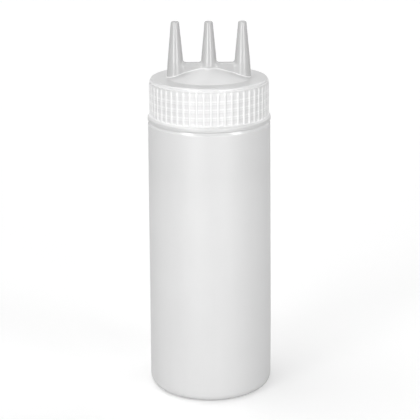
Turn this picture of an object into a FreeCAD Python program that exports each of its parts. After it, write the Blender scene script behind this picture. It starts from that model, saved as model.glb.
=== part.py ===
import FreeCAD, Part
import math
import os
import re
import Sketcher

# A wide-mouth squeeze bottle with a screw cap that carries three pouring nozzles in a row.
# Millimetres. The origin is the middle of the foot, +Z is up and the nozzles stand in a row along X.

SIZES = {
    # bottle body
    "body_diameter": (72.2, "across the wall just under the shoulder"),
    "body_draft": (1.3, "growth of the wall's radius from the shoulder down to the foot"),
    "wall_top": (164.7, "height where the wall ends and the shoulder begins"),
    "shoulder_slope": (1.9, "height of the sloped band of the shoulder"),
    "shoulder_lean": (0.7, "how far that band slopes in"),
    "shoulder_round": (0.7, "radius of the shoulder's top edge"),
    "foot_round": (4.8, "radius round the foot"),
    "foot_land": (4.4, "flat ring that the bottle stands on, inside the foot's round"),
    "recess_depth": (1.4, "depth of that hollow"),
    # how the cap sits
    "cap_gap": (0.3, "clear height between the shoulder and the cap's rim"),
    "neck_clearance": (0.3, "clear ring between the neck and the cap's skirt"),
    "cap_setback": (0.85, "how far the cap's ribs stay inside the body's wall"),
    # cap shell
    "cap_height": (24.8, "from the rim to the flat top"),
    "plate_thickness": (2.0, "thickness of the flat top"),
    "skirt_wall": (1.6, "thickness of the skirt between two ribs"),
    "disc_setback": (0.8, "how far the edge of the top stays inside the ribs"),
    "disc_round": (1.2, "radius round the edge of the top"),
    "disc_land": (0.15, "upright band between that round and the groove"),
    "groove_width": (0.35, "height of the fine groove under the edge of the top"),
    "groove_depth": (0.3, "depth of that groove"),
    "ledge_setback": (0.3, "how far the plain band over the ribs stays inside them"),
    # flange at the foot of the skirt, level with the body's wall
    "flange_proud": (0.2, "how far the flange stands out past the body's wall"),
    "flange_height": (3.1, "from the rim up to the top of the flange's slope"),
    "flange_slope": (1.2, "height over which the flange slopes in to the skirt"),
    "flange_round": (1.5, "radius where that slope meets the flange's upright side"),
    # grip
    "rib_count": (54, "ribs round the skirt"),
    "rib_turn": (-1.73, "turn of the first rib from the row of nozzles, in degrees"),
    "rib_height": (0.5, "how far a rib stands off the skirt"),
    "rib_root": (1.75, "width of a rib where it leaves the skirt"),
    "rib_crest": (1.15, "width of a rib's crest"),
    "rib_drop": (2.2, "from the flat top down to the upper ends of the ribs"),
    "rib_lead": (2.0, "height over which the ribs slope out to their crest"),
    "rim_height": (0.15, "plain band between the flange and the ribs"),
    # raised middle of the top
    "hill_diameter": (48.8, "across the foot of the cone"),
    "hill_height": (6.9, "height of the cone's point over the flat top"),
    # nozzles and the web between them
    "nozzle_spacing": (19.5, "from one nozzle to the next"),
    "nozzle_length": (32.6, "from the flat top to the tips"),
    "nozzle_root_diameter": (10.3, "at the level of the flat top"),
    "nozzle_waist_diameter": (9.2, "at the level of the web's top"),
    "nozzle_tip_diameter": (4.7, "at the tip"),
    "tip_round": (0.55, "radius round the tip"),
    "bore_tip_diameter": (2.0, "bore at the tip"),
    "bore_root_diameter": (7.6, "bore at the underside of the cap"),
    "web_height": (8.7, "top of the web over the flat top"),
    "web_thickness": (6.4, "front to back"),
    "web_round": (2.4, "radius along the web's top edges"),
}
NOZZLES = (-1, 0, 1)
EMBED = 0.5  # how deep a rib or a nozzle starts inside what carries it

doc = FreeCAD.newDocument("SqueezeBottle")
sheet = doc.addObject("Spreadsheet::Sheet", "Sizes")
for row, (alias, (size, meaning)) in enumerate(SIZES.items(), start=1):
    sheet.set(f"A{row}", alias)
    sheet.set(f"B{row}", str(size))
    sheet.set(f"C{row}", meaning)
    sheet.setAlias(f"B{row}", alias)
doc.recompute()

# Places that several pieces share, as formulas of the sheet's names.
FOOT_RADIUS = "(body_diameter / 2 + body_draft)"
WALL_RADIUS = "(body_diameter / 2)"
RECESS_RADIUS = f"({FOOT_RADIUS} - foot_round - foot_land)"
SHOULDER_TOP = "(wall_top + shoulder_slope)"
SHOULDER_RADIUS = f"({WALL_RADIUS} - shoulder_lean)"
CAP_RIM = f"({SHOULDER_TOP} + cap_gap)"
CAP_TOP = f"({CAP_RIM} + cap_height)"
CAP_SEAT = f"({CAP_TOP} - plate_thickness)"
CREST_RADIUS = f"({WALL_RADIUS} - cap_setback)"
SKIRT_RADIUS = f"({CREST_RADIUS} - rib_height)"
SKIRT_BORE = f"({SKIRT_RADIUS} - skirt_wall)"
NECK_RADIUS = f"({SKIRT_BORE} - neck_clearance)"
DISC_RADIUS = f"({CREST_RADIUS} - disc_setback)"
LEDGE_RADIUS = f"({CREST_RADIUS} - ledge_setback)"
GROOVE_TOP = f"({CAP_TOP} - disc_round - disc_land)"
GROOVE_FLOOR = f"({GROOVE_TOP} - groove_width)"
FLANGE_RADIUS = f"({WALL_RADIUS} + flange_proud)"
FLANGE_TOP = f"({CAP_RIM} + flange_height)"
RIB_FOOT = f"({FLANGE_TOP} + rim_height)"
RIB_TOP = f"({CAP_TOP} - rib_drop)"
WEB_TOP = f"({CAP_TOP} + web_height)"
TIP = f"({CAP_TOP} + nozzle_length)"


def sized(formula):
    """A formula of the sheet's names as the expression that the document understands."""
    return re.sub(r"[a-z]+(?:_[a-z]+)+", lambda name: "Sizes." + name.group(0), formula)


def value(formula):
    """What a formula of the sheet's names comes to, in millimetres."""
    return float(sheet.evalExpression(sized(formula)))


def new_body(label):
    """An empty body that is one piece of the bottle."""
    body = doc.addObject("PartDesign::Body", label)
    body.Label = label
    return body


def outline(body, name, corners, plane="XZ_Plane", along=None, lift=None, turn=None):
    """A closed outline of straight edges; each corner is a pair of formulas in the sketch's own axes."""
    sketch = body.newObject("Sketcher::SketchObject", name)
    support = next(feature for feature in body.Origin.OriginFeatures if feature.Role == plane)
    sketch.AttachmentSupport = [(support, "")]
    sketch.MapMode = "FlatFace"
    if along is not None:
        sketch.setExpression("AttachmentOffset.Base.x", sized(along))
    if lift is not None:
        sketch.setExpression("AttachmentOffset.Base.z", sized(lift))
    if turn is not None:
        sketch.setExpression("AttachmentOffset.Rotation.Angle", sized(turn))
    places = [FreeCAD.Vector(value(across), value(up), 0) for across, up in corners]
    for start, end in zip(places, places[1:] + places[:1]):
        sketch.addGeometry(Part.LineSegment(start, end), False)
    for edge, (across, up) in enumerate(corners):
        following = (edge + 1) % len(corners)
        sketch.addConstraint(Sketcher.Constraint("Coincident", edge, 2, following, 1))
        for kind, formula, axis in (("DistanceX", across, -2), ("DistanceY", up, -1)):
            if formula == "0":
                sketch.addConstraint(Sketcher.Constraint("PointOnObject", edge, 1, axis))
                continue
            measure = Sketcher.Constraint(kind, -1, 1, edge, 1, value(formula))
            number = sketch.addConstraint(measure)
            sketch.setExpression(f"Constraints[{number}]", sized(formula))
    return sketch


def turned(body, name, corners, kind="PartDesign::Revolution", along=None):
    """A full turn of an outline about the upright line through its sketch's origin."""
    sketch = outline(body, name + "_outline", corners, along=along)
    feature = body.newObject(kind, name)
    feature.Profile = sketch
    feature.ReferenceAxis = (sketch, ["V_Axis"])
    feature.Angle = 360
    return feature


def rounded(body, name, base, radius, wanted):
    """A round of one radius along the edges of a feature for which wanted(edge) holds."""
    doc.recompute()
    edges = [f"Edge{n}" for n, edge in enumerate(base.Shape.Edges, start=1) if wanted(edge)]
    feature = body.newObject("PartDesign::Fillet", name)
    feature.Base = (base, edges)
    feature.setExpression("Radius", sized(radius))
    return feature


def is_circle(edge, radius, height):
    """True for a full circle about the bottle's axis with this radius at this height."""
    if not isinstance(edge.Curve, Part.Circle):
        return False
    centre = edge.Curve.Center
    off_axis = math.hypot(centre.x, centre.y)
    return off_axis < 0.01 and abs(edge.Curve.Radius - radius) < 0.01 and abs(centre.z - height) < 0.01


def build_bottle():
    """The blown body: a drafted wall, a short sloped shoulder and a plain neck that the cap sits on."""
    body = new_body("bottle_body")
    blank = turned(body, "blank", [
        ("0", "recess_depth"),
        (RECESS_RADIUS + " - recess_depth", "recess_depth"),
        (RECESS_RADIUS, "0"),
        (FOOT_RADIUS, "0"),
        (WALL_RADIUS, "wall_top"),
        (SHOULDER_RADIUS, SHOULDER_TOP),
        (NECK_RADIUS, SHOULDER_TOP),
        (NECK_RADIUS, CAP_SEAT),
        ("0", CAP_SEAT),
    ])
    foot = rounded(body, "foot", blank, "foot_round",
                   lambda edge: is_circle(edge, value(FOOT_RADIUS), 0.0))
    rounded(body, "shoulder", foot, "shoulder_round",
            lambda edge: is_circle(edge, value(SHOULDER_RADIUS), value(SHOULDER_TOP)))
    return body


def build_cap():
    """The moulded screw cap: ribbed skirt, flat top with a low cone, and three bored nozzles on a web."""
    body = new_body("screw_cap")
    shell = turned(body, "shell", [
        (SKIRT_BORE, CAP_RIM),
        (FLANGE_RADIUS, CAP_RIM),
        (FLANGE_RADIUS, FLANGE_TOP + " - flange_slope"),
        (CREST_RADIUS, FLANGE_TOP),
        (CREST_RADIUS, RIB_FOOT),
        (SKIRT_RADIUS, RIB_FOOT),
        (SKIRT_RADIUS, RIB_TOP),
        (LEDGE_RADIUS, RIB_TOP),
        (LEDGE_RADIUS, GROOVE_FLOOR),
        (DISC_RADIUS + " - groove_depth", GROOVE_FLOOR),
        (DISC_RADIUS + " - groove_depth", GROOVE_TOP),
        (DISC_RADIUS, GROOVE_TOP),
        (DISC_RADIUS, CAP_TOP),
        ("hill_diameter / 2", CAP_TOP),
        ("0", CAP_TOP + " + hill_height"),
        ("0", CAP_SEAT),
        (SKIRT_BORE, CAP_SEAT),
    ])
    disc_edge = rounded(body, "disc_edge", shell, "disc_round",
                        lambda edge: is_circle(edge, value(DISC_RADIUS), value(CAP_TOP)))
    rounded(body, "flange_edge", disc_edge, "flange_round",
            lambda edge: is_circle(edge, value(FLANGE_RADIUS), value(f"{FLANGE_TOP} - flange_slope")))
    add_ribs(body)
    add_web(body)
    for place in NOZZLES:
        add_nozzle(body, place)
    round_tips(body)
    for place in NOZZLES:
        add_bore(body, place)
    return body


def add_ribs(body):
    """Upright ribs round the skirt, turned down to one crest line that slopes in at the top."""
    half = [
        (SKIRT_RADIUS + f" - {EMBED}", "rib_root / 2"),
        (SKIRT_RADIUS, "rib_root / 2"),
        (CREST_RADIUS, "rib_crest / 2"),
        (CREST_RADIUS + f" + {EMBED}", "rib_crest / 2"),
    ]
    section = [(across, "-" + up) for across, up in half] + half[::-1]
    rib = body.newObject("PartDesign::Pad", "rib")
    rib.Profile = outline(body, "rib_outline", section, plane="XY_Plane", lift=RIB_FOOT, turn="rib_turn")
    rib.setExpression("Length", sized(f"{RIB_TOP} - {RIB_FOOT}"))
    doc.recompute()
    ring = body.newObject("PartDesign::PolarPattern", "ribs")
    ring.Originals = [rib]
    ring.Axis = (next(axis for axis in body.Origin.OriginFeatures if axis.Role == "Z_Axis"), [""])
    ring.Angle = 360
    ring.setExpression("Occurrences", sized("rib_count"))
    body.Tip = ring
    doc.recompute()
    turned(body, "crest", [
        (LEDGE_RADIUS, RIB_TOP),
        (CREST_RADIUS, f"{RIB_TOP} - rib_lead"),
        (CREST_RADIUS, RIB_FOOT),
        (CREST_RADIUS + f" + 2 * {EMBED}", RIB_FOOT),
        (CREST_RADIUS + f" + 2 * {EMBED}", RIB_TOP),
    ], kind="PartDesign::Groove")


def add_web(body):
    """The upright web that ties the nozzles together, with its top edges rounded."""
    web = body.newObject("PartDesign::Pad", "web")
    web.Profile = outline(body, "web_outline", [
        ("0", CAP_TOP + f" - {EMBED}"),
        ("2 * nozzle_spacing", CAP_TOP + f" - {EMBED}"),
        ("2 * nozzle_spacing", WEB_TOP),
        ("0", WEB_TOP),
    ], along="-nozzle_spacing")
    web.Midplane = True
    web.setExpression("Length", sized("web_thickness"))
    doc.recompute()
    rounded(body, "web_top", web, "web_round",
            lambda edge: edge.BoundBox.ZMin > value(WEB_TOP) - 0.01
            and edge.BoundBox.XLength > value("nozzle_spacing"))


def add_nozzle(body, place):
    """One tapered nozzle, place spacings along X, steep under the web's top and slimmer over it."""
    turned(body, f"nozzle_{place + 2}", [
        ("0", CAP_TOP + f" - {EMBED}"),
        ("nozzle_root_diameter / 2", CAP_TOP + f" - {EMBED}"),
        ("nozzle_waist_diameter / 2", WEB_TOP),
        ("nozzle_tip_diameter / 2", TIP),
        ("0", TIP),
    ], along=f"{place} * nozzle_spacing")


def round_tips(body):
    """A round along the rim of each nozzle's tip."""
    rounded(body, "tips", body.Tip, "tip_round",
            lambda edge: isinstance(edge.Curve, Part.Circle)
            and edge.BoundBox.ZMin > value(TIP) - 0.01)


def add_bore(body, place):
    """The tapered bore of one nozzle, open at the tip and at the cap's underside."""
    turned(body, f"bore_{place + 2}", [
        ("0", CAP_SEAT + f" - {EMBED}"),
        ("bore_root_diameter / 2", CAP_SEAT + f" - {EMBED}"),
        ("bore_root_diameter / 2", CAP_SEAT),
        ("bore_tip_diameter / 2", TIP),
        ("bore_tip_diameter / 2", TIP + f" + {EMBED}"),
        ("0", TIP + f" + {EMBED}"),
    ], kind="PartDesign::Groove", along=f"{place} * nozzle_spacing")


pieces = [build_bottle(), build_cap()]
doc.recompute()
for made in doc.Objects:
    if "Invalid" in made.State or "Error" in made.State:
        raise SystemExit(f"{made.Label} did not build: {made.State}")
os.makedirs("parts", exist_ok=True)
for piece in pieces:
    shape = piece.Shape
    if shape.isNull() or not shape.isValid() or len(shape.Solids) != 1:
        raise SystemExit(f"{piece.Label} is not one sound solid")
    shape.exportStep(f"parts/{piece.Label}.step")
    box = shape.BoundBox
    print(f"{piece.Label}: {box.XLength:.2f} x {box.YLength:.2f} x {box.ZLength:.2f} mm,"
          f" top at {box.ZMax:.2f}, {shape.Volume / 1000:.1f} cm3, {len(shape.Faces)} faces")
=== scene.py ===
# %% [markdown]
# # A squeeze bottle with a three-nozzle cap
#
# The object is a kitchen squeeze bottle: a blown body of milky, faintly see-through polyethylene and a screw cap
# of the same plastic, with upright ribs for grip and three tapered nozzles in a row. Three things make such a
# bottle look real. Its outline is round everywhere, down to small radii at the foot, the shoulder and the tips.
# Its plastic is frosted, so its highlights are wide and dull. And its few details, the ribs, the fine groove and
# the thread that shows through the cap, are small and even.
#
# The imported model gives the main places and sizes. The script loads it first and measures it.

# %% Load the frame
import math

import bpy
import numpy as np
from mathutils import Matrix, Vector


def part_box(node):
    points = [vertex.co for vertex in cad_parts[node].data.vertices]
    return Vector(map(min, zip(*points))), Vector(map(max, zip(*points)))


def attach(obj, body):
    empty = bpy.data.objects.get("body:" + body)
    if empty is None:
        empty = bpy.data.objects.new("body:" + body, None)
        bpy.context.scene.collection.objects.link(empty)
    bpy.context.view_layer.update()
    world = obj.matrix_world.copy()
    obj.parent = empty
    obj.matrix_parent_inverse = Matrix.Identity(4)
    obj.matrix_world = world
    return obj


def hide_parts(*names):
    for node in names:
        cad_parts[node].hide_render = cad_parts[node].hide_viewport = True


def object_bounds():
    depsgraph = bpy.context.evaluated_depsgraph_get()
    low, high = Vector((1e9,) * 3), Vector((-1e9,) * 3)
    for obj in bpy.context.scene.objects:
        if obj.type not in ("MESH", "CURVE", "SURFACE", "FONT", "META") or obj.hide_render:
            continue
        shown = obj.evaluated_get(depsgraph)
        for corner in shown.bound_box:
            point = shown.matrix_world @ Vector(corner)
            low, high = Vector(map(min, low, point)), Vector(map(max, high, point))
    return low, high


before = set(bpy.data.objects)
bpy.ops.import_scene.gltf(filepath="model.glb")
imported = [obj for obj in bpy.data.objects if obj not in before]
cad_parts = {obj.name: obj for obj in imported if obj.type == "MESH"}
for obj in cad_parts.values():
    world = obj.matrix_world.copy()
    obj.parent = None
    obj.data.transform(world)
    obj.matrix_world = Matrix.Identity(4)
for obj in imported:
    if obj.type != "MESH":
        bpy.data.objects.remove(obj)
cad_low, cad_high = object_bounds()
MM = 0.001
print("the model is", [round((b - a) / MM, 1) for a, b in zip(cad_low, cad_high)], "mm")

# %% [markdown]
# Both pieces are measured from the boxes of their solids, so that each lands where its solid is. The rest are
# plain millimetres, as on a maker's drawing, counted from those places. The foot's round takes away the corner where
# the wall would meet the floor, so the body's box is 0.04 mm short of the radius that the wall would have there.

# %% Read the main sizes
_, body_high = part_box("bottle_body")
cap_low, cap_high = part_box("screw_cap")
CORNER_LOSS = 0.04
FOOT_FLARE, CAP_ROOF, CAP_GAP, CREST_SETBACK = 1.3, 2.0, 0.3, 0.85
FOOT_RADIUS = round(cad_high[0] / MM + CORNER_LOSS, 1)
CAP_RIM = cap_low.z / MM
TIP = cap_high.z / MM
NECK_TOP = body_high.z / MM
CAP_TOP = NECK_TOP + CAP_ROOF
SHOULDER_TOP = CAP_RIM - CAP_GAP
WALL_RADIUS = FOOT_RADIUS - FOOT_FLARE
CREST_RADIUS = WALL_RADIUS - CREST_SETBACK
print(f"foot radius {FOOT_RADIUS:.2f}, rib radius {CREST_RADIUS:.2f}, cap from {CAP_RIM:.1f} to {TIP:.1f} mm")

# %% [markdown]
# The camera stands a good arm's length away, a little higher than the bottle, and looks down on it with a long
# lens. A long lens keeps the two sides of the bottle nearly parallel. The view leans by less than half a degree, as
# a camera on a tripod often does.

# %% Camera
def place_camera(eye, pitch, lean, lens):
    """Camera at eye in metres, looking along +Y, turned down by pitch and about its own line of sight by lean."""
    data = bpy.data.cameras.new("studio_camera")
    data.lens = lens
    data.sensor_width = 36.0
    camera = bpy.data.objects.new("studio_camera", data)
    bpy.context.scene.collection.objects.link(camera)
    tilt = Matrix.Rotation(math.radians(90.0 - pitch), 4, "X")
    camera.matrix_world = Matrix.Translation(eye) @ tilt @ Matrix.Rotation(math.radians(lean), 4, "Z")
    bpy.context.scene.camera = camera
    return camera


camera = place_camera(Vector((0.00014, -0.7562, 0.34558)), 17.306, -0.355, 112.377)
print("camera at", [round(v, 3) for v in camera.matrix_world.translation], "with a", camera.data.lens, "mm lens")

# %% [markdown]
# Every surface here is a set of points that numpy works out at once. One helper turns points and faces into a
# mesh, and another makes the faces of a grid whose columns go round and close on themselves. Where the first or
# last row falls on the axis, it becomes a single point with a fan of triangles, so the piece has no hole there.

# %% Points and grids into meshes
def mesh_from(name, points, faces):
    """A smooth-shaded mesh object from points in millimetres and face arrays; unused points are left out."""
    used, renumbered = np.unique(np.concatenate([part.ravel() for part in faces]), return_inverse=True)
    cuts = np.cumsum([part.size for part in faces])[:-1]
    sides = [part.shape[1] for part in faces]
    rows = [row for part, side in zip(np.split(renumbered, cuts), sides)
            for row in part.reshape(-1, side).tolist()]
    mesh = bpy.data.meshes.new(name)
    mesh.from_pydata((points[used] * MM).tolist(), [], rows)
    mesh.polygons.foreach_set("use_smooth", np.ones(len(mesh.polygons), dtype=bool))
    mesh.update()
    piece = bpy.data.objects.new(name, mesh)
    bpy.context.scene.collection.objects.link(piece)
    print(f"{name}: {len(mesh.vertices)} points, {len(mesh.polygons)} faces")
    return piece


def ring_faces(grid):
    """Faces of a grid (row, column, xyz) that runs up the outside and whose columns go round anticlockwise."""
    around = grid.shape[1]
    index = np.arange(grid.shape[0] * around).reshape(-1, around)
    right = np.roll(index, -1, axis=1)
    quads = np.stack([index[:-1], right[:-1], right[1:], index[1:]], axis=-1)
    faces = []
    if np.ptp(grid[0], axis=0).max() < 1e-9:
        faces.append(np.stack([np.full(around, index[0, 0]), right[1], index[1]], axis=-1))
        quads = quads[1:]
    if np.ptp(grid[-1], axis=0).max() < 1e-9:
        faces.append(np.stack([index[-2], right[-2], np.full(around, index[-1, 0])], axis=-1))
        quads = quads[:-1]
    return faces + [quads.reshape(-1, 4)]

# %% [markdown]
# Both pieces are round about the upright axis, so each starts as a line of radius and height. A maker draws such
# a line with straight runs and gives each corner a radius. The same is done here: corners and radii go in, and a
# line with true arcs comes out. Extra points on the straight runs keep the shading even and give later dents and
# ribs something to move.

# %% Rounded outlines
def rounded_line(corners, radii, step=7):
    """Corners (n, 2) joined, with an arc of its own radius at each inner corner, of step points."""
    line = [corners[:1]]
    for before, corner, after, radius in zip(corners, corners[1:], corners[2:], radii):
        back, ahead = before - corner, after - corner
        back, ahead = back / np.linalg.norm(back), ahead / np.linalg.norm(ahead)
        half = 0.5 * math.acos(np.clip(back @ ahead, -1.0, 1.0))
        middle = corner + (back + ahead) / np.linalg.norm(back + ahead) * radius / math.sin(half)
        start = corner + back * radius / math.tan(half) - middle
        end = corner + ahead * radius / math.tan(half) - middle
        sweep = math.atan2(start[0] * end[1] - start[1] * end[0], start @ end)
        turn = np.linspace(0.0, sweep, step)[:, None]
        line.append(middle + np.cos(turn) * start + np.sin(turn) * np.array([-start[1], start[0]]))
    return np.vstack(line + [corners[-1:]])


def even_line(line, longest):
    """The same line with extra points, so that no step is longer than longest."""
    steps = np.linalg.norm(np.diff(line, axis=0), axis=1)
    parts = np.maximum(1, np.ceil(steps / longest)).astype(int)
    before = np.repeat(np.arange(len(parts)), parts)
    share = (np.arange(len(before)) - np.repeat(np.cumsum(parts) - parts, parts)) / parts[before]
    return np.vstack([line[before] + (line[before + 1] - line[before]) * share[:, None], line[-1:]])

# %% [markdown]
# The body is blown into a mould as one thin piece: a hollow under the foot, a round foot, a wall that widens a
# little towards the bottom, a short sloped shoulder and a neck that the cap hides. A lathe shape is right for it. A
# blown wall is never quite straight or round. It swells by a tenth of a millimetre half way up, leans by a little
# more low down, and goes in and out by a few hundredths in wide, soft waves. That bends a highlight, and hardly
# shows on the outline.

# %% Bottle body
FOOT_ROUND, FOOT_LAND, RECESS_DEPTH, RECESS_ROUND, LAND_ROUND = 4.8, 4.4, 1.4, 1.2, 0.9
SHOULDER_SLOPE, SHOULDER_LEAN, WALL_EDGE_ROUND, SHOULDER_ROUND = 1.9, 0.7, 0.9, 0.7
NECK_FOOT_ROUND, NECK_TOP_ROUND = 0.4, 0.5
RIB_DEPTH, SKIRT_WALL, NECK_CLEARANCE = 0.5, 1.6, 0.3
SWELL, LEAN, SWELL_TOP = 0.12, 0.15, SHOULDER_TOP - 1.0
NECK_RADIUS = CREST_RADIUS - RIB_DEPTH - SKIRT_WALL - NECK_CLEARANCE
RECESS_RADIUS = FOOT_RADIUS - FOOT_ROUND - FOOT_LAND


def body_outline():
    """Radius and height from the middle of the foot out, up the wall, over the shoulder and up the neck."""
    corners = np.array([
        (0.0, RECESS_DEPTH), (RECESS_RADIUS - RECESS_DEPTH, RECESS_DEPTH), (RECESS_RADIUS, 0.0),
        (FOOT_RADIUS, 0.0), (WALL_RADIUS, SHOULDER_TOP - SHOULDER_SLOPE),
        (WALL_RADIUS - SHOULDER_LEAN, SHOULDER_TOP), (NECK_RADIUS, SHOULDER_TOP),
        (NECK_RADIUS, NECK_TOP), (0.0, NECK_TOP)])
    radii = [RECESS_ROUND, LAND_ROUND, FOOT_ROUND, WALL_EDGE_ROUND, SHOULDER_ROUND, NECK_FOOT_ROUND, NECK_TOP_ROUND]
    return even_line(rounded_line(corners, radii, step=9), 2.5)


def blown_waves(turn, height):
    """Half a sine of swell up the wall, a lean to one side low down, and slow sines that fade at its ends."""
    waves = 0.030 * np.sin(2 * turn + 0.9 + height / 31) + 0.018 * np.sin(3 * turn - 0.6 - height / 23)
    waves += 0.022 * np.sin(height / 17 + 1.1 * np.sin(turn)) + 0.010 * np.sin(5 * turn + height / 13)
    fade = np.clip((height - 4) / 12, 0, 1) * np.clip((SWELL_TOP - 1 - height) / 8, 0, 1)
    lean = LEAN * np.cos(turn) * np.exp(-((height - 45) / 45) ** 2)
    return waves * fade + lean + SWELL * np.sin(np.pi * np.clip(height / SWELL_TOP, 0, 1))


def build_bottle_shell(around=240):
    """The outline turned about the axis; the blown waves move the wall and leave the neck and the recess alone."""
    line = body_outline()
    turn = np.linspace(0.0, 2 * np.pi, around, endpoint=False)[None, :]
    radius, height = line[:, :1], line[:, 1:]
    radius = radius + blown_waves(turn, height) * (radius > WALL_RADIUS - 0.5)
    grid = np.stack([radius * np.cos(turn), radius * np.sin(turn), height + 0 * turn], axis=-1)
    return mesh_from("bottle_shell", grid.reshape(-1, 3), ring_faces(grid))


bottle_shell = build_bottle_shell()
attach(bottle_shell, "root")
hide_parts("bottle_body")

# %% [markdown]
# The cap's skirt carries 54 upright ribs. On the real one they are cut into the mould: flat crests and sloping
# sides, with a narrow band, a fine groove and the rounded edge of the top over them. Under them the skirt runs out
# in a smooth flange, nearly level with the body's wall, so that bottle and cap read as one tall cylinder.
# Modelling one rib and copying it would leave seams. Instead the skirt is one grid. Each row has two radii, one
# between the ribs and one on their crests, and each column says how far it is from one to the other. The columns
# crowd together on a rib's slopes, where the shape turns.

# %% Ribbed skirt and top
RIBS, RIB_TURN, CREST_HALF, RIB_HALF = 54, -1.73, 0.45, 0.93
SKIRT_RADIUS, LEDGE_RADIUS, DISC_RADIUS = CREST_RADIUS - RIB_DEPTH, CREST_RADIUS - 0.3, CREST_RADIUS - 0.8
SKIRT_BORE = SKIRT_RADIUS - SKIRT_WALL
RIM_DROP, GROOVE_DEPTH, DISC_EDGE_ROUND = 0.18, 0.18, 1.25
FLANGE_RADIUS, FLANGE_TOP, FLANGE_SLOPE = WALL_RADIUS + 0.2, CAP_RIM + 3.1, 1.2
RIB_FOOT, RIB_TOP = FLANGE_TOP + 0.15, CAP_TOP - 2.2
GROOVE_TOP = CAP_TOP - 1.35


def rib_columns():
    """Angle and rib share of every column: 0 between ribs, 1 on a crest, a smooth ramp on the slopes."""
    pitch = 2 * np.pi / RIBS
    slope = np.array([0.46, 0.55, 0.64, 0.73, 0.82, 0.92])
    offset = np.concatenate([[0.0], slope, [1.15, 1.6], [pitch * SKIRT_RADIUS / 2]])
    offset = np.concatenate([-offset[:0:-1], offset[:-1]])
    ramp = np.clip((RIB_HALF - np.abs(offset)) / (RIB_HALF - CREST_HALF), 0, 1)
    share = ramp * ramp * (3 - 2 * ramp)
    centre = math.radians(RIB_TURN) + pitch * np.arange(RIBS)
    turn = (centre[:, None] + offset[None, :] / SKIRT_RADIUS).ravel()
    return turn[None, :], np.tile(share, RIBS)[None, :]


def skirt_outline():
    """Rows of (radius between ribs, radius on a crest, height) from under the top, down inside and up outside."""
    z, foot, crest, cell = CAP_RIM - RIM_DROP, RIB_FOOT, CREST_RADIUS, SKIRT_RADIUS
    inside = [(0.0, NECK_TOP), (20.0, NECK_TOP), (SKIRT_BORE, NECK_TOP), (SKIRT_BORE, z + 0.3)]
    flange = rounded_line(np.array([
        (SKIRT_BORE + 0.3, z), (FLANGE_RADIUS, z), (FLANGE_RADIUS, FLANGE_TOP - FLANGE_SLOPE),
        (crest, FLANGE_TOP), (crest, foot - 0.04)]), [0.22, 1.5, 0.08])
    rows = [(r, r, h) for r, h in inside + even_line(flange, 0.8).tolist()]
    rows += [(crest - 0.06, crest, foot - 0.02), (cell + 0.22, crest, foot + 0.08),
             (cell + 0.06, crest, foot + 0.22), (cell, crest, foot + 0.45)]
    heights = np.linspace(foot + 1.2, RIB_TOP - 2.6, 12)
    rows += [(cell, crest, h) for h in heights]
    lead = np.linspace(0.0, 1.0, 6)
    ease = lead * lead * (3 - 2 * lead)
    rows += [(cell, crest - 0.3 * e, RIB_TOP - 2.2 + 1.7 * s) for s, e in zip(lead, ease)]
    ledge = LEDGE_RADIUS
    rows += [(cell + 0.04, ledge, RIB_TOP - 0.22), (cell + 0.14, ledge, RIB_TOP - 0.06),
             (ledge - 0.02, ledge, RIB_TOP + 0.08)]
    band = [(ledge, RIB_TOP + 0.2), (ledge, GROOVE_TOP - 0.43), (ledge - 0.05, GROOVE_TOP - 0.36),
            (DISC_RADIUS - 0.10, GROOVE_TOP - 0.30), (DISC_RADIUS - GROOVE_DEPTH, GROOVE_TOP - 0.22),
            (DISC_RADIUS - GROOVE_DEPTH, GROOVE_TOP - 0.10), (DISC_RADIUS - 0.12, GROOVE_TOP - 0.02),
            (DISC_RADIUS - 0.03, GROOVE_TOP + 0.02), (DISC_RADIUS, GROOVE_TOP + 0.08)]
    turn = np.linspace(0.0, np.pi / 2, 10)
    band += [(DISC_RADIUS - DISC_EDGE_ROUND * (1 - math.cos(a)), CAP_TOP - DISC_EDGE_ROUND * (1 - math.sin(a)))
             for a in turn]
    band += [(r, CAP_TOP) for r in (32.6, 31.0, 29.0, 27.0, 25.6, 25.0, 22.0, 15.0, 7.0, 0.0)]
    rows += [(r, r, h) for r, h in band]
    return np.array(rows)


def build_cap_skirt():
    """Radius = radius between ribs + (crest radius - that) x rib share, turned about the axis."""
    turn, share = rib_columns()
    cell, crest, height = (column[:, None] for column in skirt_outline().T)
    radius = cell + (crest - cell) * share
    grid = np.stack([radius * np.cos(turn), radius * np.sin(turn), height + 0 * turn], axis=-1)
    return mesh_from("cap_skirt", grid.reshape(-1, 3), ring_faces(grid))


cap_skirt = build_cap_skirt()
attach(cap_skirt, "root")
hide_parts("screw_cap")

# %% [markdown]
# Three tapered nozzles, the web between them and the low cone under them are one moulding, and every inner corner
# is a small, even round. No grid of two parameters follows such a shape, because its level cuts split from one
# loop into three. A sculptor would blend it by hand. Here the shape is a distance instead: a formula that is
# negative inside the plastic and positive outside. Two distances melt together with a round of one radius, and a
# bore is taken away by turning its distance round. The skin is where the distance is zero.

# %% Distances that melt together
NOZZLE_SPACING, NOZZLE_LENGTH = 19.5, TIP - CAP_TOP
NOZZLE_RADII, BORE_RADII, TIP_ROUND, BORE_ROUND = [5.15, 4.6, 2.35], [3.8, 1.0], 0.55, 0.2
WEB_HEIGHT, WEB_ROUND, WEB_FLAT, WEB_MELT = 8.7, 2.4, 0.8, 1.4
HILL_RADIUS, HILL_HEIGHT, HILL_SUNK = 24.4, 6.9, 0.5
SIDE_MELT, MIDDLE_MELT, MELT_SPREAD = 0.5, 1.3, 4.0


def melted(a, b, radius):
    """Union of two distances with a concave round: the least of both, less where both are under the radius."""
    return np.maximum(np.minimum(a, b), radius) - np.hypot(np.maximum(radius - a, 0), np.maximum(radius - b, 0))


def trimmed(a, b, radius):
    """The part inside both distances, with a convex round of this radius along their shared edge."""
    return np.minimum(np.maximum(a, b), -radius) + np.hypot(np.maximum(radius + a, 0), np.maximum(radius + b, 0))


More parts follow.
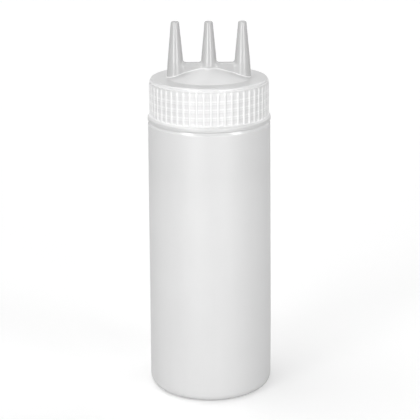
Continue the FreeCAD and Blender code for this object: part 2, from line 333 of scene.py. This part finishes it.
def nozzle_distance(x, y, z):
    """Distance to one upright cone frustum about the nearest nozzle axis, less its tapered bore."""
    beside = np.clip(np.round(x / NOZZLE_SPACING), -1, 1) * NOZZLE_SPACING
    off_axis = np.hypot(x - beside, y)
    side = off_axis - np.interp(z, [0.0, WEB_HEIGHT, NOZZLE_LENGTH], NOZZLE_RADII)
    bore = off_axis - np.interp(z, [-CAP_ROOF, NOZZLE_LENGTH], BORE_RADII)
    return trimmed(side, z - NOZZLE_LENGTH, TIP_ROUND), bore


def web_distance(x, y, z):
    """Distance to a slab across the nozzles, 6.4 mm thick, with rounds of 2.4 mm along its top edges."""
    out, up = np.abs(y) - WEB_FLAT, z - (WEB_HEIGHT - WEB_ROUND)
    section = np.hypot(np.maximum(out, 0), np.maximum(up, 0)) + np.minimum(np.maximum(out, up), 0) - WEB_ROUND
    return np.maximum(section, np.abs(x) - NOZZLE_SPACING)


def hill_distance(x, y, z):
    """Distance to a low cone, cut off just under the flat top so that the two skins overlap there."""
    slope = math.atan2(HILL_HEIGHT, HILL_RADIUS)
    cone = (z - HILL_HEIGHT) * math.cos(slope) + np.hypot(x, y) * math.sin(slope)
    return np.maximum(cone, -HILL_SUNK - z)


def cap_distance(points):
    """Distance to cone, web and nozzles in one, for points (..., 3) counted from the middle of the flat top."""
    x, y, z = points[..., 0], points[..., 1], points[..., 2]
    outside, bore = nozzle_distance(x, y, z)
    upper = melted(web_distance(x, y, z), outside, WEB_MELT)
    foot = SIDE_MELT + MIDDLE_MELT * np.exp(-(x / MELT_SPREAD) ** 2)
    return trimmed(melted(upper, hill_distance(x, y, z), foot), -bore, BORE_ROUND)

# %% [markdown]
# To lay a net of quads on that skin, space is cut into small cubes. Every cube that the skin passes through gets
# one point, and every cube edge that it crosses gets one quad between the four cubes around it. Then each point
# slides along the steepest way to the exact zero, and a few rounds of evening out make the quads alike. All of it
# is done on whole arrays.

# %% A net of quads on a distance
def skin_of(distance, low, high, step):
    """Points and quads on the zero of a distance inside a box, from cubes of one step."""
    axes = [np.arange(a, b + step, step) for a, b in zip(low, high)]
    solid = distance(np.stack(np.meshgrid(*axes, indexing="ij"), axis=-1)) < 0
    filled = sum(solid[i:solid.shape[0] - 1 + i, j:solid.shape[1] - 1 + j, k:solid.shape[2] - 1 + k].astype(int)
                 for i in (0, 1) for j in (0, 1) for k in (0, 1))
    crossed = (filled > 0) & (filled < 8)
    number = np.full(crossed.shape, -1)
    number[crossed] = np.arange(crossed.sum())
    points = np.array(low) + (np.argwhere(crossed) + 0.5) * step
    quads = []
    for axis in range(3):
        order = (axis, (axis + 1) % 3, (axis + 2) % 3)
        turned, cells = solid.transpose(order), number.transpose(order)
        here, there = turned[:-1, 1:-1, 1:-1], turned[1:, 1:-1, 1:-1]
        i, j, k = np.nonzero(here != there)
        quad = np.stack([cells[i, j, k], cells[i, j + 1, k], cells[i, j + 1, k + 1], cells[i, j, k + 1]], axis=-1)
        backward = there[i, j, k]
        quad[backward] = quad[backward][:, ::-1]
        quads.append(quad)
    return points, np.concatenate(quads)


def steepest(distance, points, reach=0.02):
    """The way in which a distance grows fastest, from its change over a small reach along each axis."""
    steps = np.eye(3) * reach
    return np.stack([distance(points + s) - distance(points - s) for s in steps], axis=-1) / (2 * reach)


def settled(distance, points, quads, rounds=4):
    """Points moved onto the zero of a distance, evened out over their quads and moved onto it again."""
    for evening in range(rounds + 1):
        for slide in range(3):
            way = steepest(distance, points)
            squared = np.maximum((way * way).sum(axis=-1), 0.05)
            points = points - np.clip(distance(points) / squared, -0.3, 0.3)[:, None] * way
        if evening < rounds:
            middles = points[quads].mean(axis=1)
            total = np.stack([np.bincount(quads.ravel(), np.repeat(middles[:, a], 4), len(points))
                              for a in range(3)], -1)
            points = 0.5 * points + 0.5 * total / np.bincount(quads.ravel(), minlength=len(points))[:, None]
    return points


def build_cap_nozzles(step=0.42):
    """The skin of the cap's distance, put on the flat top."""
    reach, below, above = 27.6, 1.3, 0.8
    points, quads = skin_of(cap_distance, (-reach, -reach, -below), (reach, reach, NOZZLE_LENGTH + above), step)
    points = settled(cap_distance, points, quads)
    return mesh_from("cap_nozzles", points + [0.0, 0.0, CAP_TOP], [quads])


cap_nozzles = build_cap_nozzles()
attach(cap_nozzles, "root")

# %% [markdown]
# Materials are written as sums. A small class wraps a shader socket, so that `1 - mask` or `depth * 0.5` adds the
# Math nodes that do it. A second class holds a material and makes any other node from its type, its settings and
# the values or links of its sockets.

# %% Shader sums in Python
class Signal:
    """A shader socket; Python's operators on it add the Math nodes that work them out."""

    def __init__(self, finish, socket):
        self.finish, self.socket = finish, socket

    def sum_of(self, operation, *values):
        return self.finish.node("ShaderNodeMath", {"operation": operation}, dict(enumerate(values)))

    def __add__(self, other):
        return self.sum_of("ADD", self, other)

    def __sub__(self, other):
        return self.sum_of("SUBTRACT", self, other)

    def __mul__(self, other):
        return self.sum_of("MULTIPLY", self, other)

    def __rsub__(self, other):
        return self.sum_of("SUBTRACT", other, self)

    def __pow__(self, other):
        return self.sum_of("POWER", self, other)

    __radd__, __rmul__ = __add__, __mul__

    def ramped(self, low, high):
        """0 under low, 1 over high and a smooth rise between."""
        return self.finish.node("ShaderNodeMapRange", {"interpolation_type": "SMOOTHSTEP"},
                                {0: self, 1: low, 2: high, 3: 0.0, 4: 1.0})

    def band_at(self, centre, half_width):
        """1 at the centre, falling smoothly to 0 at half a width on either side."""
        return 1 - self.sum_of("ABSOLUTE", self - centre).ramped(0.0, half_width)


class Finish:
    """A material in the making, or the world."""

    def __init__(self, name, owner=None):
        self.owner = owner or bpy.data.materials.new(name)
        self.owner.use_nodes = True
        self.tree = self.owner.node_tree
        self.tree.nodes.clear()

    def node(self, kind, settings=None, inputs=None, output=0):
        """A node of a kind: its settings first, then values or links for its sockets; gives one output."""
        node = self.tree.nodes.new(kind)
        for key, value in (settings or {}).items():
            setattr(node, key, value)
        for key, value in (inputs or {}).items():
            if isinstance(value, Signal):
                self.tree.links.new(value.socket, node.inputs[key])
            else:
                node.inputs[key].default_value = value
        return Signal(self, node.outputs[output]) if node.outputs else None

    def place(self, stretch=(1.0, 1.0, 1.0)):
        """The point on the object in millimetres, with each axis stretched."""
        point = self.node("ShaderNodeTexCoord", output="Object")
        return self.node("ShaderNodeMapping", {}, {"Vector": point, "Scale": tuple(1000.0 * s for s in stretch)})

    def along(self, axis):
        """The height, or the way across, in millimetres on the object: one part of its place."""
        return self.node("ShaderNodeSeparateXYZ", {}, {"Vector": self.place()}, output=axis)

    def turn_of(self, x, y):
        """The share of a full turn from the front of the bottle to a point, growing to the right."""
        return x.sum_of("ARCTAN2", x, 0 - y) * (0.5 / math.pi)

    def cloud(self, size, detail=2.0, stretch=(1.0, 1.0, 1.0)):
        """A noise around 0.5 whose patches are about size millimetres across."""
        return self.node("ShaderNodeTexNoise", {}, {"Vector": self.place(stretch), "Scale": 1.0 / size,
                                                    "Detail": detail})

    def tint(self, share, low, high):
        """A grey from low to high as share goes from 0 to 1, as a colour."""
        greys = {"A": (low, low, low, 1.0), "B": (high, high, high, 1.0)}
        node = self.tree.nodes.new("ShaderNodeMix")
        node.data_type = "RGBA"
        for name, grey in greys.items():
            next(s for s in node.inputs if s.name == name and s.type == "RGBA").default_value = grey
        self.tree.links.new(share.socket, node.inputs[0])
        return Signal(self, next(s for s in node.outputs if s.type == "RGBA"))

    def plastic(self, colour, roughness, height, depth, fixed):
        """A Principled shader from a colour, a roughness and a height in millimetres, with fixed plain values."""
        bump = self.node("ShaderNodeBump", {}, {"Height": height, "Strength": 1.0, "Distance": depth * MM})
        inputs = {"Base Color": colour, "Roughness": roughness, "Normal": bump, **fixed}
        shader = self.node("ShaderNodeBsdfPrincipled", {}, inputs)
        self.node("ShaderNodeOutputMaterial", {}, {"Surface": shader})
        return self.owner

# %% [markdown]
# Natural polyethylene has no pigment. It is a cloudy white, a little greyer where the wall is thin, and the mould's
# fine sandblasting leaves a dull, even grain. The body gets wide patches a little lighter or darker, faint upright
# streaks from the way the plastic was blown, and a grain of a third of a millimetre in the bump. Its top 60 mm are
# painted darker, as painted shade where less light falls, and its shoulder is shinier, as if rubbed. A little light
# travels under the skin, which softens small shadows. How dark or shiny each place is was chosen to look right and
# not measured on a bottle, so these are guesses.

# %% Body plastic
def body_plastic():
    """Cloudy white, dull and even, with faint upright streaks and a fine grain."""
    finish = Finish("milky_body_plastic")
    patches = finish.cloud(38.0, 3.0)
    streaks = finish.cloud(5.0, 2.0, (1.0, 1.0, 0.06))
    grain = finish.cloud(0.35)
    ripple = finish.cloud(9.0, 1.0)
    # Painted shade: the body's colour darkens over its top 60 mm, where less light falls.
    painted_top_shade = finish.along("Z").ramped(SHOULDER_TOP - 60, SHOULDER_TOP)
    colour = finish.tint(patches * 0.7 + streaks * 0.3 - painted_top_shade * 0.9, 0.74, 0.80)
    rubbed = finish.along("Z").ramped(SHOULDER_TOP - 2.2, SHOULDER_TOP - 1.8)
    roughness = 0.37 + patches * 0.06 + grain * 0.05 - rubbed * 0.23
    height = grain * 0.35 + ripple * 0.65
    return finish.plastic(colour, roughness, height, 0.03, {
        "IOR": 1.5, "Specular IOR Level": 0.95, "Subsurface Weight": 0.15,
        "Subsurface Radius": (1.0, 1.0, 1.0), "Subsurface Scale": 0.002})

# %% [markdown]
# The cap's ribs are the whitest part. The wall between them is thin and sits in the ribs' shade, and it is painted
# darker: partly a greyer tone, partly painted shade. The flange under the ribs is darker too, and the flat top is
# painted darker as painted shade. The thread inside shows as faint slanting lines, three in every pitch: a strong
# light one, one half as strong and a dark one. All these tones are guesses.

# %% Cap plastic
THREAD_PITCH, THREAD_START = 4.64, 181.8


def cap_plastic():
    """White ribs, painted shade between them and on the flat top, a darker flange, the thread as slanting lines."""
    finish = Finish("milky_cap_plastic")
    patches = finish.cloud(22.0)
    grain = finish.cloud(0.3)
    x, y, z = finish.along("X"), finish.along("Y"), finish.along("Z")
    radius = (x * x + y * y) ** 0.5
    skirt = 1 - z.ramped(CAP_TOP - 1.1, CAP_TOP - 0.2)
    rib = radius.ramped(SKIRT_RADIUS + 0.1, CREST_RADIUS - 0.1)
    lead = (z - THREAD_START) * (1 / THREAD_PITCH) - finish.turn_of(x, y)
    share = lead - lead.sum_of("FLOOR", lead)
    line = share.band_at(0.5, 0.16) + share.band_at(0.21, 0.13) * 0.5 - share.band_at(0.02, 0.14) * 0.45
    whole = z.ramped(RIB_FOOT, RIB_FOOT + 3.0) * (1 - z.ramped(RIB_TOP - 4.5, RIB_TOP - 1.5))
    flange = 1 - z.ramped(FLANGE_TOP - 0.5, FLANGE_TOP + 0.1)
    # Painted shade: the wall between the ribs is coloured darker, and the flat top, outside the skirt, darker still.
    painted_rib_shade_thread_and_flange = (1 - rib) * -0.27 + line * whole * (0.36 - rib * 0.20) - flange * 0.65
    colour = finish.tint(0.06 + patches * 0.08 + skirt * (0.79 + painted_rib_shade_thread_and_flange), 0.60, 0.92)
    roughness = 0.30 + patches * 0.05 + grain * 0.03 + rib * skirt * 0.07
    return finish.plastic(colour, roughness, grain, 0.01, {
        "IOR": 1.6, "Specular IOR Level": 1.0, "Subsurface Weight": 0.12,
        "Subsurface Radius": (1.0, 1.0, 1.0), "Subsurface Scale": 0.0012})

# %% [markdown]
# The nozzles are bored through and thin-walled. They and their web are greyer and smoother than the cone they
# stand on. Painted shade darkens the cone round the feet of the outer two, and a painted highlight, a thin light
# line, runs along all their feet, within a millimetre of the cone. These tones are guesses as well, and from above
# the line and the cone's edge stand out.

# %% Nozzle plastic, and all three put on
def nozzle_plastic():
    """Nozzles and web greyer and smoother than the cone; the cone carries painted shade and a painted highlight."""
    finish = Finish("thin_nozzle_plastic")
    patches = finish.cloud(14.0)
    grain = finish.cloud(0.3)
    x, y, z = finish.along("X"), finish.along("Y"), finish.along("Z")
    radius = (x * x + y * y) ** 0.5
    over = z - CAP_TOP - HILL_HEIGHT + radius * (HILL_HEIGHT / HILL_RADIUS)
    thin = over.ramped(0.3, 0.8)
    side = x.sum_of("ABSOLUTE", x) - NOZZLE_SPACING
    # Painted shade: the cone is coloured darker within 6 to 13 mm of the outer two nozzles' axes.
    painted_shade_round_outer_nozzles = 1 - ((side * side + y * y) ** 0.5).ramped(6.0, 13.0)
    # Painted highlight: a light line along the feet of web and nozzles, within a millimetre over the cone.
    cone = 0.94 - painted_shade_round_outer_nozzles * 0.5 + over.ramped(0.0, 0.25) * 0.45
    colour = finish.tint(patches * 0.12 + (1 - thin) * cone, 0.51, 0.77)
    roughness = 0.23 + patches * 0.05 + (1 - thin) * 0.10
    return finish.plastic(colour, roughness, grain, 0.008, {
        "IOR": 1.5, "Specular IOR Level": 0.6, "Subsurface Weight": 0.1,
        "Subsurface Radius": (1.0, 1.0, 1.0), "Subsurface Scale": 0.001})


bottle_shell.data.materials.append(body_plastic())
cap_skirt.data.materials.append(cap_plastic())
cap_nozzles.data.materials.append(nozzle_plastic())
for name, piece in (("bottle_body", bottle_shell), ("screw_cap", cap_skirt)):
    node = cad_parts[name]
    node.data.materials.clear()
    node.data.materials.append(piece.data.materials[0])
print("finishes:", ", ".join(p.data.materials[0].name for p in (bottle_shell, cap_skirt, cap_nozzles)))

# %% [markdown]
# The set is a white floor and white surroundings with six far, soft lamps. Two stand in front, one well to each
# side and 25 degrees up, and give the shoulder its two highlights. Two low ones nearer the middle light the front
# and keep off the shoulder. A wide one, high on the left and a little behind, throws the soft shadow to the right.
# The last, behind on the right, lights that edge. The camera sees the floor and the surroundings as plain white, and
# a reflection sees the surroundings so. The light that they shed is weaker, so it doesn't wash out the plastic.

# %% Floor, surroundings and lamps
FLOOR_GREY, FLOOR_GREY_SEEN, FLOOR_LIFT = 0.60, 0.80, 0.32
SURROUNDINGS = 0.22
# Azimuth, elevation and width in degrees, and strength.
LAMPS = {"left_lamp": (-43.0, 25.0, 20.0, 0.56), "right_lamp": (54.0, 25.0, 20.0, 0.48),
         "front_left_lamp": (-26.0, 4.0, 16.0, 0.96), "front_right_lamp": (28.0, 4.0, 16.0, 0.84),
         "high_lamp": (-108.0, 66.0, 60.0, 1.3), "right_back_lamp": (125.0, 30.0, 40.0, 0.55)}


def white_floor():
    """A large pale floor; the camera sees it lifted to plain white, and the bottle's shadow on it stays."""
    finish = Finish("floor_white")
    seen = finish.node("ShaderNodeLightPath", output="Is Camera Ray")
    paper = finish.node("ShaderNodeBsdfDiffuse", {}, {"Color": finish.tint(seen, FLOOR_GREY, FLOOR_GREY_SEEN)})
    lift = finish.node("ShaderNodeEmission", {}, {"Color": (1.0, 1.0, 1.0, 1.0), "Strength": seen * FLOOR_LIFT})
    both = finish.node("ShaderNodeAddShader", {}, {0: paper, 1: lift})
    finish.node("ShaderNodeOutputMaterial", {}, {"Surface": both})
    size = 3.0
    mesh = bpy.data.meshes.new("floor")
    mesh.from_pydata([(-size, -size, 0), (size, -size, 0), (size, size, 0), (-size, size, 0)], [], [(0, 1, 2, 3)])
    mesh.materials.append(finish.owner)
    floor = bpy.data.objects.new("floor", mesh)
    bpy.context.scene.collection.objects.link(floor)
    return floor


def white_surroundings(strength):
    """White where the camera, a reflection or a clear view meets it, and a softer light for everything else."""
    world = bpy.data.worlds.new("surroundings")
    bpy.context.scene.world = world
    finish = Finish("surroundings", world)
    paths = [finish.node("ShaderNodeLightPath", output=name)
             for name in ("Is Camera Ray", "Is Glossy Ray", "Is Transmission Ray")]
    seen = finish.node("ShaderNodeMath", {"operation": "ADD", "use_clamp": True},
                       {0: paths[0] + paths[1], 1: paths[2]})
    background = finish.node("ShaderNodeBackground", {}, {"Color": (1.0, 1.0, 1.0, 1.0),
                                                          "Strength": strength + seen * (1.0 - strength)})
    finish.node("ShaderNodeOutputWorld", {}, {"Surface": background})


def soft_lamp(name, azimuth, elevation, width, strength):
    """A far round lamp, width degrees across, azimuth degrees to the right of the camera's side of the bottle."""
    data = bpy.data.lights.new(name, "SUN")
    data.angle, data.energy = math.radians(width), strength
    a, e = math.radians(azimuth), math.radians(elevation)
    way = Vector((math.sin(a) * math.cos(e), -math.cos(a) * math.cos(e), math.sin(e)))
    lamp = bpy.data.objects.new(name, data)
    bpy.context.scene.collection.objects.link(lamp)
    lamp.matrix_world = Matrix.Translation(way) @ way.to_track_quat("Z", "Y").to_matrix().to_4x4()


bpy.context.scene.view_settings.view_transform = "Standard"
white_floor()
white_surroundings(SURROUNDINGS)
for name, (azimuth, elevation, width, strength) in LAMPS.items():
    soft_lamp(name, azimuth, elevation, width, strength)
print("lamps:", ", ".join(LAMPS))
